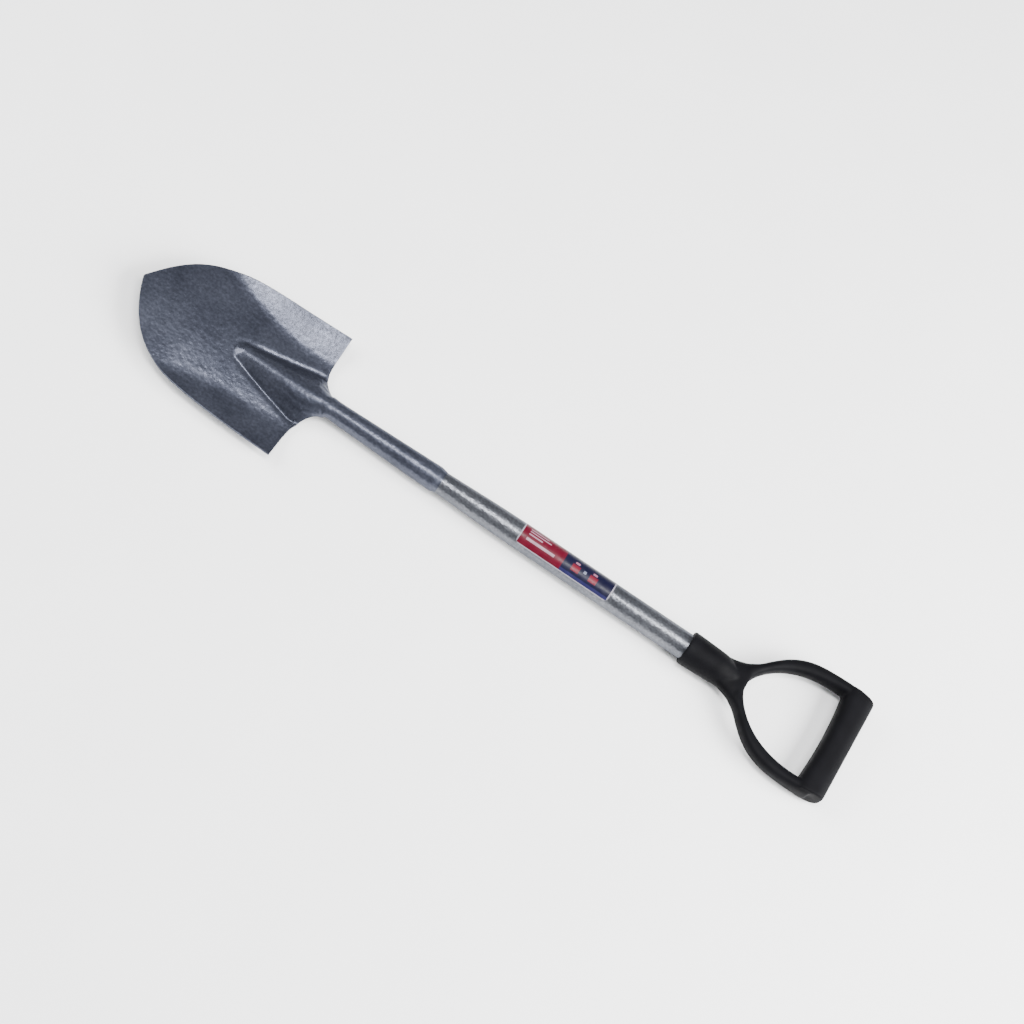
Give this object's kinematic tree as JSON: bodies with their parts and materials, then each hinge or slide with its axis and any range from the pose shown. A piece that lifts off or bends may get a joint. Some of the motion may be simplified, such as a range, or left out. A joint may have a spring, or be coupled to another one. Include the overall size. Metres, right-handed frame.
{
  "type": "garden spade",
  "caption": "Short digging spade with a pointed, dished steel blade and rolled socket, a tapered steel tube shaft and a moulded D-shaped hand grip.",
  "frame": {"origin": "on the shaft's axis, at the middle of its plain, full-size length, where a rack clip holds it", "axes": "+X along the shaft from the blade to the grip, +Y across the blade, +Z out of the blade's hollow front face"},
  "size_m": [0.848, 0.16, 0.0368],
  "materials": {
    "blade_paint": "hammered blue-grey enamel, satin",
    "shaft_paint": "silver-grey enamel, satin",
    "grip_plastic": "black, lightly textured",
    "rivet_steel": "plain, domed head",
    "screw_steel": "zinc plated",
    "label_film": "printed film in red and dark blue with a pale border, no wording"
  },
  "bodies": {
    "root": {"blade": "blade_paint", "shaft": "shaft_paint", "grip": "grip_plastic", "socket_rivet": "rivet_steel", "grip_screw": "screw_steel", "label": "label_film"}
  },
  "joints": []
}
